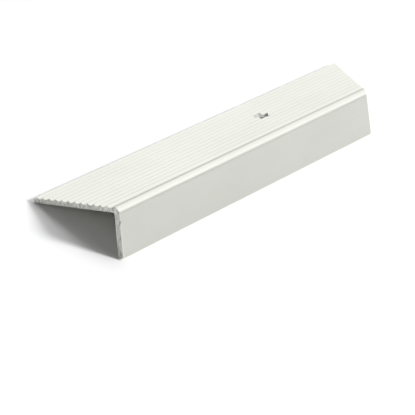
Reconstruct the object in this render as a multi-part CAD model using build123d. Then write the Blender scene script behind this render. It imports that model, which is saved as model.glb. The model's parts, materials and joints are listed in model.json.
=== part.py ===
from build123d import *
from math import atan2, degrees
import os

# Stair nosing: one length of extruded aluminium angle with a ribbed tread, a rounded nose and a plain leg.
# It is drawn as it sits on a step. X runs along the length from the square end, Y runs back from the front
# face and Z runs up from the leg's bottom edge. The finished piece is then laid down on its two free edges.
# Lengths are in millimetres and angles in degrees.

# Length and sawn ends
back_length = 250.0            # along the tread's back edge, the longest line of the piece
mitre_angle = 45.0             # turn of the far cut away from square, seen from above
mitre_lean = 4.5               # lean of the far cut, out towards the leg's bottom edge

# Section
tread_depth = 45.0             # front face to back edge
leg_height = 22.7              # leg's bottom edge to the rib crests
leg_thickness = 2.7
web_thickness = 1.8            # plate under the ribs
nose_radius = 2.9              # round from the front face up to the top of the nose
nose_drop = 0.25               # top of the nose below the rib crests
nose_depth = 4.1               # front face to the foot of the nose's back slope
nose_back_radius = 0.5         # between the top of the nose and its back slope
rib_pitch = 3.37
rib_width = 2.6                # at the rib's foot
rib_height = 1.0
rib_setback = 1.6              # back edge to the last rib's crest
crest_radius = 0.2
inner_radius = 0.8             # between the leg and the underside of the tread
edge_radius = 0.4              # leg's inner bottom edge and the tread's back bottom edge
toe_radius = 0.2               # leg's front bottom edge

# Countersunk screw hole
hole_diameter = 4.8
countersink_diameter = 8.6     # at the rib crests
countersink_angle = 90.0
hole_from_square_end = 148.0
hole_setback = 23.5            # from the front face

# Levels and counts that follow from the sizes above
nose_level = leg_height - nose_drop
valley_level = leg_height - rib_height
underside_level = valley_level - web_thickness
rib_count = int((tread_depth - rib_setback - rib_width / 2 - nose_depth) // rib_pitch) + 1
stock_length = back_length + leg_height    # enough to saw the leaning mitre from
rest_tilt = degrees(atan2(underside_level, tread_depth - leg_thickness))


# Corners of the ribs from the front one to the back one, whose back flank ends at the tread's back edge
def rib_corners():
    corners = []
    for place in reversed(range(rib_count)):
        crest = tread_depth - rib_setback - place * rib_pitch
        corners.append((crest - rib_width / 2, valley_level))
        corners.append((crest, leg_height))
        corners.append((crest + rib_width / 2, valley_level))
    corners[-1] = (tread_depth, valley_level)
    return corners


# Corners of a flat shape that lie at the given points
def corners_at(shape, points):
    return [shape.vertices().sort_by_distance(point)[0] for point in points]


# Closed section of the extrusion: front face, round nose, ribs, back edge, underside and leg
def extrusion_section():
    ribs = rib_corners()
    crests = ribs[1::3]
    nose_top = (nose_radius, nose_level)
    inner_corner = (leg_thickness, underside_level)
    resting_corners = [(leg_thickness, 0), (tread_depth, underside_level)]

    front_face = Line((0, 0), (0, nose_level - nose_radius))
    nose = JernArc(start=front_face @ 1, tangent=front_face % 1, radius=nose_radius, arc_size=-90)
    tread_and_leg = Polyline(
        nose @ 1,
        (nose_depth, valley_level),
        *ribs,
        (tread_depth, underside_level),
        inner_corner,
        (leg_thickness, 0),
        (0, 0),
    )
    section = make_face([*front_face.edges(), *nose.edges(), *tread_and_leg.edges()])
    section = fillet(corners_at(section, crests), crest_radius)
    section = fillet(corners_at(section, [nose_top]), nose_back_radius)
    section = fillet(corners_at(section, [inner_corner]), inner_radius)
    section = fillet(corners_at(section, resting_corners), edge_radius)
    return fillet(corners_at(section, [(0, 0)]), toe_radius)


# Plane of the mitred end, through the far back corner, facing away from the piece
def mitre_plane():
    facing = Vector(1, 0, 0).rotate(Axis.Y, -mitre_lean).rotate(Axis.Z, -mitre_angle)
    return Plane(origin=(back_length, tread_depth, underside_level), z_dir=facing)


# Screw hole through the tread, countersunk from the rib crests
def screw_hole():
    hole = CounterSinkHole(
        radius=hole_diameter / 2,
        counter_sink_radius=countersink_diameter / 2,
        counter_sink_angle=countersink_angle,
        depth=leg_height,
    )
    return Pos(hole_from_square_end, hole_setback, leg_height) * hole


# Lay the piece down as it rests by itself: on the leg's inner bottom edge and the tread's back edge,
# with the origin on the floor under the middle of its box
def laid_on_floor(piece):
    tilted = Rot(-rest_tilt, 0, 0) * piece
    box = tilted.bounding_box()
    return Pos(-box.center().X, -box.center().Y, -box.min.Z) * tilted


stock = extrude(Plane.YZ * extrusion_section(), amount=stock_length)
sawn = split(stock, bisect_by=mitre_plane(), keep=Keep.BOTTOM)
stair_nosing = laid_on_floor(sawn - screw_hole())
stair_nosing.label = "stair_nosing"

os.makedirs("parts", exist_ok=True)
export_step(stair_nosing, "parts/stair_nosing.step")
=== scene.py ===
import bpy
import json
from math import atan2, cos, radians, tan
from mathutils import Euler, Matrix, Vector


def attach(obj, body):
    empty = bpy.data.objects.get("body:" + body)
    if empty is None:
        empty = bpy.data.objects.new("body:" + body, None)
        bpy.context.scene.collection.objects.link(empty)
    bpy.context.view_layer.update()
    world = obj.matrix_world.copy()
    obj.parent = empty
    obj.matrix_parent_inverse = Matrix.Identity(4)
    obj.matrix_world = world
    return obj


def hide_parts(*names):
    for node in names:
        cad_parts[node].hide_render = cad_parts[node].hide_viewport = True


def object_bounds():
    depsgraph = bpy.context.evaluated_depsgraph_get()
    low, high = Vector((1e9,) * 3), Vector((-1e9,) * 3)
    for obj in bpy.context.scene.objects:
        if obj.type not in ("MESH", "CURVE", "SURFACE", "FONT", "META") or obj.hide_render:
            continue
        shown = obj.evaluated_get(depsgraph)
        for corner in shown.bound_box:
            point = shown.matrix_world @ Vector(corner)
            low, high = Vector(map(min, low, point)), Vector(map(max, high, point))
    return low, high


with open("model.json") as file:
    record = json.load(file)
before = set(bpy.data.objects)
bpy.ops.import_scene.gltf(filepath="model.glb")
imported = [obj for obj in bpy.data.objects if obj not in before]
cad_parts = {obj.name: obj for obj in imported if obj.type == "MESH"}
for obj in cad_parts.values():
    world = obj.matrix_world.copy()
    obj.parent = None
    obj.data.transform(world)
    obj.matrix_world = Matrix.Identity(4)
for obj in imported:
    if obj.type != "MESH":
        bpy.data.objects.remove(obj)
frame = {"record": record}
cadBox = [list(corner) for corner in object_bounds()]
mm = 0.001
print("frame loaded, box", [[round(value, 4) for value in corner] for corner in cadBox])


# A node socket that takes sums: each operator adds a Math node to the tree
class Wire:
    def __init__(self, bench, socket):
        self.bench = bench
        self.socket = socket

    def math(self, operation, *values):
        return self.bench.add("ShaderNodeMath", {"operation": operation}, dict(enumerate(values)))

    def __add__(self, other):
        return self.math("ADD", self, other)

    def __radd__(self, other):
        return self.math("ADD", other, self)

    def __sub__(self, other):
        return self.math("SUBTRACT", self, other)

    def __rsub__(self, other):
        return self.math("SUBTRACT", other, self)

    def __mul__(self, other):
        return self.math("MULTIPLY", self, other)

    def __rmul__(self, other):
        return self.math("MULTIPLY", other, self)

    def __truediv__(self, other):
        return self.math("DIVIDE", self, other)

    def __rtruediv__(self, other):
        return self.math("DIVIDE", other, self)

    def __abs__(self):
        return self.math("ABSOLUTE", self)

    def __gt__(self, other):
        return self.math("GREATER_THAN", self, other)

    def __lt__(self, other):
        return self.math("LESS_THAN", self, other)

    # noise swung about nought instead of about a half
    def swing(self, reach):
        return (self - 0.5) * reach

    def floor(self):
        return self.math("FLOOR", self)

    # held between nought and one
    def clamp(self):
        return self.bench.add("ShaderNodeClamp", None, {"Value": self})

    # another output of the same node
    def also(self, output):
        return Wire(self.bench, self.socket.node.outputs[output])


# A node tree with one way to add any node: its type, its settings, then its sockets
class Bench:
    def __init__(self, tree):
        self.tree = tree
        tree.nodes.clear()

    def add(self, kind, settings=None, sockets=None, output=0):
        node = self.tree.nodes.new(kind)
        for name, value in (settings or {}).items():
            if name == "choices":    # an index switch grows to this many answers
                while len(node.index_switch_items) < value:
                    node.index_switch_items.new()
            else:
                setattr(node, name, value)
        for name, value in (sockets or {}).items():
            for item in value if isinstance(value, list) else [value]:
                if isinstance(item, Wire):
                    self.tree.links.new(item.socket, node.inputs[name])
                else:
                    node.inputs[name].default_value = item
        return Wire(self, node.outputs[output]) if len(node.outputs) else node

    # noise from nought to one whose marks have the given three lengths in millimetres
    def noise(self, place, lengths, detail=2.0):
        scaled = self.add("ShaderNodeVectorMath", {"operation": "MULTIPLY"}, {
            0: place, 1: tuple(1 / (length * mm) for length in lengths)})
        return self.add("ShaderNodeTexNoise", None, {"Vector": scaled, "Scale": 1.0, "Detail": detail})

    # nought below the low value, one above the high one, with a soft step between
    def ramp(self, value, low, high):
        return self.add("ShaderNodeMapRange", {"interpolation_type": "SMOOTHSTEP"}, {
            "Value": value, "From Min": low, "From Max": high, "To Min": 0.0, "To Max": 1.0})

    def dot(self, way, other):
        return self.add("ShaderNodeVectorMath", {"operation": "DOT_PRODUCT"}, {0: way, 1: other}, "Value")

    def blend(self, share, first, second):
        return self.add("ShaderNodeMix", {"data_type": "RGBA"}, {0: share, 6: first, 7: second}, 2)

    # bump from a height in millimetres
    def bump(self, height):
        return self.add("ShaderNodeBump", None, {"Height": height, "Distance": mm, "Strength": 1.0})


# Section of the extrusion, its cuts and the fineness of its mesh, in millimetres and degrees
nosingSizes = {
    "treadDepth": 45.0,
    "legHeight": 22.7,
    "legThickness": 2.7,
    "webThickness": 1.8,
    "noseRadius": 2.9,
    "noseTop": 3.08,          # front face to the corner behind the top of the nose
    "noseDrop": 0.25,
    "noseDepth": 4.1,
    "noseBackRadius": 0.5,
    "ribPitch": 3.37,
    "ribWidth": 2.6,
    "ribHeight": 1.0,
    "ribSetback": 1.6,
    "crestRadius": 0.2,
    "valleyRadius": 0.15,
    "innerRadius": 0.8,
    "edgeRadius": 0.4,
    "toeRadius": 0.2,
    "mitreAngle": 45.0,
    "mitreLean": 4.5,
    "edgeBreak": 0.12,        # where the saw's edges were taken off
    "sinkDiameter": 8.6,
    "cutterRise": 1.0,        # the countersink cutter starts this far above the crests
    "nick": 0.6,
    "nickLevel": 16.0,
    "nickShape": (1.0, 0.8, 1.2),
    "rings": 28,
    "ribArc": 6,
    "footArc": 3,
    "edgeArc": 8,
    "bendArc": 12,
    "noseArc": 24,
    "holeSides": 128,
    "mergeGap": 0.002,
    "flatFace": 5.0,          # faces of a larger area are shaded flat, in square millimetres
    "sharpAngle": 28.0,
    "cutFacing": 0.97,        # cosine within which a face counts as sawn
}

# Levels of the section that follow from its sizes
crestLevel = nosingSizes["legHeight"]
noseLevel = crestLevel - nosingSizes["noseDrop"]
valleyLevel = crestLevel - nosingSizes["ribHeight"]
undersideLevel = valleyLevel - nosingSizes["webThickness"]

# The step's own directions and its corner under the front face, now that the piece lies on its free edges
mounts = {mount["name"]: mount for mount in frame["record"]["mounts"]}
treadUp = Vector(mounts["screw_hole"]["axis"])
restTilt = atan2(treadUp.y, treadUp.z)
stepTurn = Matrix.Rotation(-restTilt, 3, "X")
legBack = stepTurn.transposed() @ Vector(mounts["leg_back"]["pos_m"])
underside = stepTurn.transposed() @ Vector(mounts["tread_underside"]["pos_m"])
stepOrigin = stepTurn @ Vector((
    cadBox[0][0],
    legBack.y - nosingSizes["legThickness"] * mm,
    underside.z - undersideLevel * mm,
))


def newMaterial(name):
    material = bpy.data.materials.new(name)
    material.use_nodes = True
    return material, Bench(material.node_tree)


# Object coordinates measured from a given place along the step's own directions: length, depth and height
def stepPlace(bench, origin):
    return bench.add("ShaderNodeMapping", {"vector_type": "TEXTURE"}, {
        "Vector": bench.add("ShaderNodeTexCoord", None, None, "Object"),
        "Location": tuple(origin),
        "Rotation": (-restTilt, 0.0, 0.0),
    })


# Satin skin: die lines along the length, soft clouds from the bath, fine grain, dust and painted shade in
# the rib valleys and a painted highlight in a strip at the square end
satinLook = {
    "colour": (0.85, 0.86, 0.8, 1.0),
    "dullColour": (0.77, 0.78, 0.715, 1.0),
    # the colour of the rib valleys under dust and painted shade
    "dustAndShadeColour": (0.52, 0.53, 0.47, 1.0),
    # painted highlight: the lighter strip along the square end's front edge
    "edgeHighlightColour": (0.97, 0.975, 0.94, 1.0),
    "roughness": 0.35,
    "roughnessSpread": 0.1,
    "coat": (0.072, 0.168),               # least, and most under the clouds
    "coatRoughness": 0.3,
    # marks, by their length, depth and height in millimetres
    "dieLine": (900.0, 0.45, 0.45),
    "hairLine": (70.0, 0.11, 0.11),
    "cloud": (52.0, 26.0, 26.0),
    "grain": (0.16, 0.16, 0.16),
    "patch": (9.0, 3.0, 3.0),
    "lineDepth": 0.004,
    "hairDepth": 0.0016,
    "grainDepth": 0.0015,
    "dullShare": 0.35,
    "dullSwings": (0.8, 0.7, 0.3),        # by die lines, clouds and grain
    "roughSwings": (0.6, 0.5, 0.3),       # by clouds, hair lines and grain
    "dustAndShadeShare": (0.1, 0.2),              # all over, and more by patches
    "dustAndShadeFront": (5.0, 5.6),              # behind the front face, where the dust and painted shade begin
    "dustAndShadeTop": 0.35,                      # below the crests, where it ends
    "dustAndShadeBottom": 0.2,                    # below the valleys, where the tread's top has ended
    "edgeHighlightWidth": (0.39, 1.3),
    "edgeHighlightDepth": (1.0, 2.0),
    "edgeHighlightShare": (0.2, 0.5),             # all over, and more by patches
}


def makeSatin():
    look = satinLook
    material, bench = newMaterial("satin_anodised")
    place = stepPlace(bench, stepOrigin)
    level = bench.add("ShaderNodeSeparateXYZ", None, {0: place}, "Z")
    depth = level.also("Y")
    length = level.also("X")
    lines = bench.noise(place, look["dieLine"], detail=3.0)
    hairs = bench.noise(place, look["hairLine"])
    clouds = bench.noise(place, look["cloud"], detail=3.0)
    grain = bench.noise(place, look["grain"])
    patches = bench.noise(place, look["patch"])

    def span(value, ends):
        return bench.ramp(value, ends[0] * mm, ends[1] * mm)

    # dust and painted shade darken the valleys between the ribs, unevenly along them, and not under the
    # tread
    inValley = 1.0 - span(level, (valleyLevel, crestLevel - look["dustAndShadeTop"]))
    onTread = span(depth, look["dustAndShadeFront"]) * span(level, (valleyLevel - look["dustAndShadeBottom"], valleyLevel))
    dustAndShadeAll, dustAndShadeMore = look["dustAndShadeShare"]
    dustAndShade = inValley * onTread * (dustAndShadeAll + patches * dustAndShadeMore)

    # painted highlight: a lighter strip along the front's near edge at the square end
    edgeHighlightAll, edgeHighlightMore = look["edgeHighlightShare"]
    nearEdge = (1.0 - span(length, look["edgeHighlightWidth"])) * (1.0 - span(depth, look["edgeHighlightDepth"]))
    edgeHighlight = nearEdge * (edgeHighlightAll + patches * edgeHighlightMore)

    byLines, byClouds, byGrain = look["dullSwings"]
    dull = look["dullShare"] + lines.swing(byLines) + clouds.swing(byClouds) + grain.swing(byGrain)
    colour = bench.blend(dull.clamp(), look["colour"], look["dullColour"])
    # darker in the rib valleys: dust and painted shade
    colour = bench.blend(dustAndShade, colour, look["dustAndShadeColour"])
    # lighter at the near edge of the front: a painted highlight
    colour = bench.blend(edgeHighlight, colour, look["edgeHighlightColour"])

    byClouds, byHairs, byGrain = look["roughSwings"]
    uneven = clouds.swing(byClouds) + hairs.swing(byHairs) + grain.swing(byGrain) + dustAndShade
    coatLeast, coatMost = look["coat"]
    shader = bench.add("ShaderNodeBsdfPrincipled", None, {
        "Base Color": colour,
        "Metallic": 1.0,
        "Roughness": look["roughness"] + uneven * look["roughnessSpread"],
        "Coat Weight": coatLeast + clouds * (coatMost - coatLeast),
        "Coat Roughness": look["coatRoughness"],
        "Normal": bench.bump(
            lines * look["lineDepth"] + hairs * look["hairDepth"] + grain * look["grainDepth"]),
    })
    bench.add("ShaderNodeOutputMaterial", None, {"Surface": shader})
    return material


# Sawn metal: bare and grey, with strokes of the blade across the section, smears and a few bright nicks
sawnLook = {
    "colour": (0.7, 0.705, 0.665, 1.0),
    "dullColour": (0.42, 0.425, 0.395, 1.0),
    "brightColour": (0.86, 0.86, 0.83, 1.0),
    "roughness": 0.52,
    "roughnessSpread": 0.22,
    "brightPolish": 0.12,
    # marks, by their length, depth and height in millimetres
    "stroke": (0.22, 0.22, 6.6),
    "smear": (1.3, 0.91, 2.6),
    "nick": (0.4, 0.4, 0.64),
    "strokeDepth": 0.02,
    "nickDepth": 0.012,
    "strokeShare": 0.45,
    "dullRange": (0.38, 0.62),
    "nickRange": (0.6, 0.7),
    "smearRange": (0.4, 0.6),
}


def makeSawn():
    look = sawnLook
    material, bench = newMaterial("sawn_end")
    place = stepPlace(bench, stepOrigin)
    strokes = bench.noise(place, look["stroke"], detail=3.0)
    smears = bench.noise(place, look["smear"], detail=3.0)
    nicks = bench.noise(place, look["nick"])
    worn = strokes * look["strokeShare"] + smears * (1 - look["strokeShare"])
    dull = bench.ramp(worn, *look["dullRange"])
    bright = bench.ramp(nicks, *look["nickRange"]) * bench.ramp(smears, *look["smearRange"])
    colour = bench.blend(dull, look["colour"], look["dullColour"])
    shader = bench.add("ShaderNodeBsdfPrincipled", None, {
        "Base Color": bench.blend(bright, colour, look["brightColour"]),
        "Metallic": 1.0,
        "Roughness": look["roughness"] + dull.swing(look["roughnessSpread"]) - bright * look["brightPolish"],
        "Normal": bench.bump(strokes * look["strokeDepth"] + nicks * look["nickDepth"]),
    })
    bench.add("ShaderNodeOutputMaterial", None, {"Surface": shader})
    return material


# Drilled metal: bright and bare, with fine rings left by the countersink bit
drilledLook = {
    "colour": (0.76, 0.76, 0.73, 1.0),
    "dullColour": (0.58, 0.58, 0.55, 1.0),
    "roughness": 0.36,
    "roughnessSpread": 0.16,
    "ring": (0.14, 0.14, 0.14),           # marks in millimetres, as above
    "chatter": (1.1, 1.1, 1.1),
    "ringDepth": 0.008,
    "ringShare": 0.6,
    "dullRange": (0.35, 0.65),
}


def makeDrilled():
    look = drilledLook
    material, bench = newMaterial("drilled_sink")
    place = stepPlace(bench, Vector(mounts["screw_hole"]["pos_m"]))
    flat = bench.add("ShaderNodeVectorMath", {"operation": "MULTIPLY"}, {0: place, 1: (1.0, 1.0, 0.0)})
    radius = bench.add("ShaderNodeVectorMath", {"operation": "LENGTH"}, {0: flat}, "Value")
    height = bench.add("ShaderNodeSeparateXYZ", None, {0: place}, "Z")
    across = bench.add("ShaderNodeCombineXYZ", None, {"X": radius, "Y": height})
    rings = bench.noise(across, look["ring"])
    chatter = bench.noise(place, look["chatter"])
    worn = rings * look["ringShare"] + chatter * (1 - look["ringShare"])
    dull = bench.ramp(worn, *look["dullRange"])
    shader = bench.add("ShaderNodeBsdfPrincipled", None, {
        "Base Color": bench.blend(dull, look["colour"], look["dullColour"]),
        "Metallic": 1.0,
        "Roughness": look["roughness"] + chatter.swing(look["roughnessSpread"]),
        "Normal": bench.bump(rings * look["ringDepth"]),
    })
    bench.add("ShaderNodeOutputMaterial", None, {"Surface": shader})
    return material


# A geometry tree with named inputs, and the wires that carry them
def newGeometryTree(name, inputs):
    tree = bpy.data.node_groups.new(name, "GeometryNodeTree")
    bench = Bench(tree)
    tree.interface.new_socket("Geometry", in_out="OUTPUT", socket_type="NodeSocketGeometry")
    for label in inputs:
        tree.interface.new_socket(label, in_out="INPUT", socket_type="NodeSocketFloat")
    entry = bench.add("NodeGroupInput")
    return tree, bench, {label: entry.also(label) for label in inputs}


# Run a geometry tree with the given values and keep its result as a plain mesh object
def meshFromTree(name, tree, values):
    holder = bpy.data.objects.new(name + "_holder", bpy.data.meshes.new(name + "_holder"))
    bpy.context.scene.collection.objects.link(holder)
    modifier = holder.modifiers.new(name, "NODES")
    modifier.node_group = tree
    for item in tree.interface.items_tree:
        if item.in_out == "INPUT":
            modifier[item.identifier] = values[item.name]
    graph = bpy.context.evaluated_depsgraph_get()
    mesh = bpy.data.meshes.new_from_object(holder.evaluated_get(graph))
    mesh.name = name
    bpy.data.objects.remove(holder)
    piece = bpy.data.objects.new(name, mesh)
    bpy.context.scene.collection.objects.link(piece)
    return piece


# Closed section with filleted corners: the ribs from the front one to the back one, then down behind them,
# round the leg and up over the nose. It remembers its points and the way out of them for the sweep.
def sectionLoop(bench, given):
    add = bench.add
    size = nosingSizes
    ribRoom = size["treadDepth"] - size["ribSetback"] - size["ribWidth"] / 2 - size["noseDepth"]
    ribCount = int(ribRoom // size["ribPitch"]) + 1
    cornersEach = 3
    ribCorners = cornersEach * ribCount

    # depth, level, radius and arc points of the corners after the ribs
    corners = [
        (size["treadDepth"], undersideLevel, size["edgeRadius"], size["bendArc"]),
        (size["legThickness"], undersideLevel, size["innerRadius"], size["bendArc"]),
        (size["legThickness"], 0.0, size["edgeRadius"], size["bendArc"]),
        (0.0, 0.0, size["toeRadius"], size["edgeArc"]),
        (0.0, noseLevel, size["noseRadius"], size["noseArc"]),
        (size["noseTop"], noseLevel, size["noseBackRadius"], size["edgeArc"]),
        (size["noseDepth"], valleyLevel, size["valleyRadius"], size["footArc"]),
    ]

    # which rib a corner belongs to, and whether it is the rib's front foot, crest or back foot
    index = add("GeometryNodeInputIndex")
    rib = (index / cornersEach).floor()
    step = index - rib * cornersEach
    isCrest = (step > 0.5) * (step < 1.5)
    isRib = index < ribCorners - 0.5
    isLast = index > ribCorners - 1.5
    crest = given["Tread depth"] - given["Rib setback"] - (ribCount - 1 - rib) * given["Rib pitch"]
    lastStretch = isLast * (given["Rib setback"] - given["Rib width"] * 0.5)    # its foot is the back edge
    ribPlace = add("ShaderNodeCombineXYZ", None, {
        "X": crest + (step - 1.0) * given["Rib width"] * 0.5 + lastStretch,
        "Y": given["Valley level"] + isCrest * (given["Crest level"] - given["Valley level"]),
    })
    ribRadius = given["Valley radius"] + isCrest * (given["Crest radius"] - given["Valley radius"])

    def pick(kind, answers):
        return add("GeometryNodeIndexSwitch", {"data_type": kind, "choices": len(answers)}, {
            "Index": index - ribCorners,
            **{str(place): answer for place, answer in enumerate(answers)},
        })

    def choose(kind, yes, no):
        return add("GeometryNodeSwitch", {"input_type": kind}, {"Switch": isRib, "True": yes, "False": no})

    place = choose("VECTOR", ribPlace, pick("VECTOR", [(y * mm, z * mm, 0.0) for y, z, r, n in corners]))
    radius = choose("FLOAT", ribRadius, pick("FLOAT", [r * mm for y, z, r, n in corners]))
    arcPoints = choose("INT", size["ribArc"], pick("INT", [n for y, z, r, n in corners]))

    loop = add("GeometryNodeCurvePrimitiveCircle", None, {"Resolution": ribCorners + len(corners)})
    loop = add("GeometryNodeSetPosition", None, {"Geometry": loop, "Position": place})
    loop = add("GeometryNodeFilletCurve", {"mode": "POLY"}, {
        "Curve": loop, "Count": arcPoints, "Radius": radius, "Limit Radius": True})

    tangent = add("ShaderNodeSeparateXYZ", None, {0: add("GeometryNodeInputTangent")})
    wayOut = add("ShaderNodeCombineXYZ", None, {"X": 0.0 - tangent.also("Y"), "Y": tangent.also("X")})
    for name, value in (("section", add("GeometryNodeInputPosition")), ("wayOut", wayOut)):
        loop = add("GeometryNodeStoreNamedAttribute", {"data_type": "FLOAT_VECTOR", "domain": "POINT"}, {
            "Geometry": loop, "Name": name, "Value": value})
    return loop


# The section swept along the length, with its far rings slid onto the mitre and its end rings drawn in
def sweepSection(bench, given, loop):
    add = bench.add
    rings = nosingSizes["rings"]
    line = add("GeometryNodeCurvePrimitiveLine", None, {"End": (1.0, 0.0, 0.0)})
    line = add("GeometryNodeResampleCurve", {"mode": "COUNT"}, {"Curve": line, "Count": rings})
    line = add("GeometryNodeStoreNamedAttribute", {"data_type": "FLOAT", "domain": "POINT"}, {
        "Geometry": line, "Name": "ring", "Value": add("GeometryNodeInputIndex")})
    swept = add("GeometryNodeCurveToMesh", None, {"Curve": line, "Profile Curve": loop, "Fill Caps": True})
    swept = add("GeometryNodeFlipFaces", None, {"Mesh": swept})    # the corners run clockwise

    def recall(kind, name):
        return add("GeometryNodeInputNamedAttribute", {"data_type": kind}, {"Name": name})

    # the first and last rings lie on the cuts, and the next ones stand an edge break away from them
    ring = recall("FLOAT", "ring")
    isEnd = (ring < 0.5) + (ring > rings - 1.5)
    breakShare = given["Edge break"] / given["Length"]
    share = ((ring - 1.0) * ((1.0 - 2.0 * breakShare) / (rings - 3.0)) + breakShare).clamp()
    section = add("ShaderNodeVectorMath", {"operation": "SUBTRACT"}, {
        0: recall("FLOAT_VECTOR", "section"),
        1: add("ShaderNodeVectorMath", {"operation": "SCALE"}, {
            0: recall("FLOAT_VECTOR", "wayOut"), "Scale": isEnd * given["Edge break"]}),
    })
    depth = add("ShaderNodeSeparateXYZ", None, {0: section}, "X")
    level = depth.also("Y")
    farEnd = (
        given["Length"]
        + (depth - given["Tread depth"]) * given["Mitre run"]
        + (given["Underside level"] - level) * given["Lean run"]
    )
    return add("GeometryNodeSetPosition", None, {
        "Geometry": swept,
        "Position": add("ShaderNodeCombineXYZ", None, {"X": share * farEnd, "Y": depth, "Z": level}),
    })


# What the screw hole takes away: the countersink's cone and the bore, both starting where they meet
def holeCutters(bench, given, drilled):
    add = bench.add
    sides = nosingSizes["holeSides"]
    sinkDepth = given["Sink radius"] - given["Hole radius"]    # a countersink of 90 degrees
    cone = add("GeometryNodeMeshCone", None, {
        "Vertices": sides,
        "Radius Top": given["Sink radius"] + given["Cutter rise"],
        "Radius Bottom": given["Hole radius"],
        "Depth": sinkDepth + given["Cutter rise"],
    })
    bore = add("GeometryNodeMeshCylinder", None, {
        "Vertices": sides, "Radius": given["Hole radius"], "Depth": given["Crest level"]})
    sinkFoot = add("ShaderNodeCombineXYZ", None, {
        "X": given["Hole from end"], "Y": given["Hole setback"], "Z": given["Crest level"] - sinkDepth})
    cutters = []
    for cutter in (cone, bore):
        cutter = add("GeometryNodeTransform", None, {"Geometry": cutter, "Translation": sinkFoot})
        cutter = add("GeometryNodeSetShadeSmooth", {"domain": "FACE"}, {
            "Geometry": cutter, "Shade Smooth": True})
        cutters.append(add("GeometryNodeSetMaterial", None, {"Geometry": cutter, "Material": drilled}))
    return cutters


# What a small nick takes out of the front edge of the square end
def nickCutter(bench, given, sawn):
    nick = bench.add("GeometryNodeMeshIcoSphere", None, {"Radius": given["Nick"], "Subdivisions": 3})
    nick = bench.add("GeometryNodeTransform", None, {
        "Geometry": nick,
        "Translation": bench.add("ShaderNodeCombineXYZ", None, {"Z": given["Nick level"]}),
        "Scale": nosingSizes["nickShape"],
    })
    return bench.add("GeometryNodeSetMaterial", None, {"Geometry": nick, "Material": sawn})


# The whole nosing: swept and cut as it sits on a step, then laid down on its free edges
def makeNosing(satin, sawn, drilled):
    size = nosingSizes
    hole = mounts["screw_hole"]
    holePlace = stepTurn.transposed() @ (Vector(hole["pos_m"]) - stepOrigin)
    length = cadBox[1][0] - cadBox[0][0]
    values = {
        "Length": length,
        "Tread depth": size["treadDepth"] * mm,
        "Underside level": undersideLevel * mm,
        "Valley level": valleyLevel * mm,
        "Crest level": crestLevel * mm,
        "Rib pitch": size["ribPitch"] * mm,
        "Rib width": size["ribWidth"] * mm,
        "Rib setback": size["ribSetback"] * mm,
        "Crest radius": size["crestRadius"] * mm,
        "Valley radius": size["valleyRadius"] * mm,
        "Mitre run": tan(radians(size["mitreAngle"])),
        "Lean run": tan(radians(size["mitreLean"])) / cos(radians(size["mitreAngle"])),
        "Edge break": size["edgeBreak"] * mm,
        "Hole from end": holePlace.x,
        "Hole setback": holePlace.y,
        "Hole radius": hole["dims"]["r_mm"] * mm,
        "Sink radius": size["sinkDiameter"] / 2 * mm,
        "Cutter rise": size["cutterRise"] * mm,
        "Nick": size["nick"] * mm,
        "Nick level": size["nickLevel"] * mm,
    }
    tree, bench, given = newGeometryTree("nosing_section_and_cuts", values)
    add = bench.add
    swept = sweepSection(bench, given, sectionLoop(bench, given))
    swept = add("GeometryNodeSetMaterial", None, {"Geometry": swept, "Material": satin})

    # the wide faces stay truly flat and the narrow ones of the fillets are shaded round
    isNarrow = add("GeometryNodeInputMeshFaceArea") < size["flatFace"] * mm * mm
    swept = add("GeometryNodeSetShadeSmooth", {"domain": "FACE"}, {
        "Geometry": swept, "Shade Smooth": isNarrow})

    # hole and nick, with sharp edges at the cuts
    cutters = holeCutters(bench, given, drilled) + [nickCutter(bench, given, sawn)]
    cut = add("GeometryNodeMeshBoolean", {"operation": "DIFFERENCE", "solver": "EXACT"}, {
        "Mesh 1": swept, "Mesh 2": cutters})
    cut = add("GeometryNodeMergeByDistance", None, {"Geometry": cut, "Distance": size["mergeGap"] * mm})
    cut = add("GeometryNodeSetShadeSmooth", {"domain": "EDGE"}, {
        "Geometry": cut,
        "Selection": add("GeometryNodeInputMeshEdgeAngle") > radians(size["sharpAngle"]),
        "Shade Smooth": False,
    })
    laid = add("GeometryNodeTransform", None, {
        "Geometry": cut,
        "Translation": tuple(stepOrigin),
        "Rotation": Euler((-restTilt, 0.0, 0.0)),
    })
    laid = add("GeometryNodeRealizeInstances", None, {"Geometry": laid})

    # sawn faces where the two ends look out along their cuts, well away from the hole's wall
    normal = add("GeometryNodeInputNormal")
    along = add("ShaderNodeSeparateXYZ", None, {0: add("GeometryNodeInputPosition")}, "X")
    squareFacing = Vector((-1, 0, 0))
    mitreFacing = stepTurn @ Vector((1, -values["Mitre run"], values["Lean run"])).normalized()

    def looksAlong(facing):
        return bench.dot(normal, tuple(facing)) > size["cutFacing"]

    nearEnds = abs(along) > length / 4
    isSawn = (looksAlong(squareFacing) + looksAlong(mitreFacing)) * nearEnds
    laid = add("GeometryNodeSetMaterial", None, {"Geometry": laid, "Selection": isSawn, "Material": sawn})
    add("NodeGroupOutput", None, {"Geometry": laid})

    piece = meshFromTree("nosing_extrusion", tree, values)
    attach(piece, "root")
    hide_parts("stair_nosing")
    return piece


nosing = makeNosing(makeSatin(), makeSawn(), makeDrilled())
print("nosing made,", len(nosing.data.polygons), "faces,", [m.name for m in nosing.data.materials])


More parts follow.
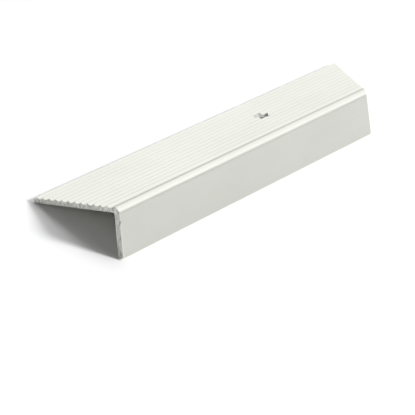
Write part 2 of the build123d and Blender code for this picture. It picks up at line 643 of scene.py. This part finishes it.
# Floor and light, in metres and watts
stageLook = {
    "floorSize": 8.0,
    "floorColour": (0.97, 0.97, 0.97, 1.0),
    "wallLevel": 0.165,
    # towards the panel's middle, cosines where it starts and is full, brightness
    "panels": [
        ((0.72, 0.0, 0.69), 0.55, 0.96, 0.97),
        ((0.76, -0.5, 0.42), 0.88, 0.98, 0.24),
        ((0.78, 0.6, 0.15), 0.88, 0.98, 0.15),
    ],
    "lampDistance": 3.0,
    # towards the lamp, width of its disc, watts, and what it lights
    "lamps": {
        "key": ((0.47, -0.62, 0.62), 0.75, 78.0, "floor"),
        "fill": ((0.4, 0.62, 0.68), 1.6, 14.0, "floor"),
        "side": ((-0.8, -0.2, 0.5), 0.8, 5.0, "floor"),
        "glint": ((0.47, -0.62, 0.62), 0.45, 2.5, "metal"),
        "left_glow": ((-0.65, 0.08, 0.76), 2.6, 12.0, "metal"),
        "top_glow": ((-0.05, 0.5, 0.86), 2.6, 10.0, "metal"),
    },
}


def makeFloor():
    half = stageLook["floorSize"] / 2
    mesh = bpy.data.meshes.new("floor")
    mesh.from_pydata(
        [(-half, -half, 0), (half, -half, 0), (half, half, 0), (-half, half, 0)], [], [(0, 1, 2, 3)])
    floor = bpy.data.objects.new("floor", mesh)
    bpy.context.scene.collection.objects.link(floor)
    material, bench = newMaterial("floor_white")
    shader = bench.add("ShaderNodeBsdfDiffuse", None, {"Color": stageLook["floorColour"]})
    bench.add("ShaderNodeOutputMaterial", None, {"Surface": shader})
    mesh.materials.append(material)


# Grey walls with soft lit panels on the right
def makeWalls():
    world = bpy.data.worlds.new("studio")
    world.use_nodes = True
    bench = Bench(world.node_tree)
    toward = bench.add("ShaderNodeTexCoord", None, None, "Generated")
    level = stageLook["wallLevel"]
    for middle, start, full, strength in stageLook["panels"]:
        nearness = bench.dot(toward, tuple(Vector(middle).normalized()))
        level = level + bench.ramp(nearness, start, full) * strength
    sky = bench.add("ShaderNodeBackground", None, {"Color": (1, 1, 1, 1), "Strength": level})
    bench.add("ShaderNodeOutputWorld", None, {"Surface": sky})
    bpy.context.scene.world = world


# The floor's lamps give light and shadow, and the metal's lamps give it something to mirror
def addLamp(name, toward, size, power, lights):
    lamp = bpy.data.lights.new(name, "AREA")
    lamp.shape = "DISK"
    lamp.size = size
    lamp.energy = power
    holder = bpy.data.objects.new(name, lamp)
    holder.location = Vector(toward).normalized() * stageLook["lampDistance"]
    holder.rotation_euler = (-holder.location).to_track_quat("-Z", "Y").to_euler()
    holder.visible_glossy = lights == "metal"
    holder.visible_diffuse = lights == "floor"
    bpy.context.scene.collection.objects.link(holder)


makeFloor()
makeWalls()
for lampName, lampSetup in stageLook["lamps"].items():
    addLamp(lampName, *lampSetup)
print("stage made,", len(stageLook["lamps"]), "lamps")

# In metres, degrees and millimetres of lens
cameraLook = {
    "place": (-0.91845, -0.43335, 0.54333),
    "aim": (-0.02106, -0.00438, -0.02032),
    "roll": 19.312,
    "lens": 215.49,
    "sensor": 36.0,
}


def makeCamera():
    lens = bpy.data.cameras.new("camera")
    lens.lens = cameraLook["lens"]
    lens.sensor_width = cameraLook["sensor"]
    camera = bpy.data.objects.new("camera", lens)
    camera.location = cameraLook["place"]
    sight = (Vector(cameraLook["aim"]) - camera.location).to_track_quat("-Z", "Y").to_matrix()
    turn = sight @ Matrix.Rotation(radians(cameraLook["roll"]), 3, "Z")
    camera.rotation_euler = turn.to_euler()
    bpy.context.scene.collection.objects.link(camera)
    bpy.context.scene.camera = camera


makeCamera()
bpy.context.scene.view_settings.view_transform = "Standard"
print("camera set")
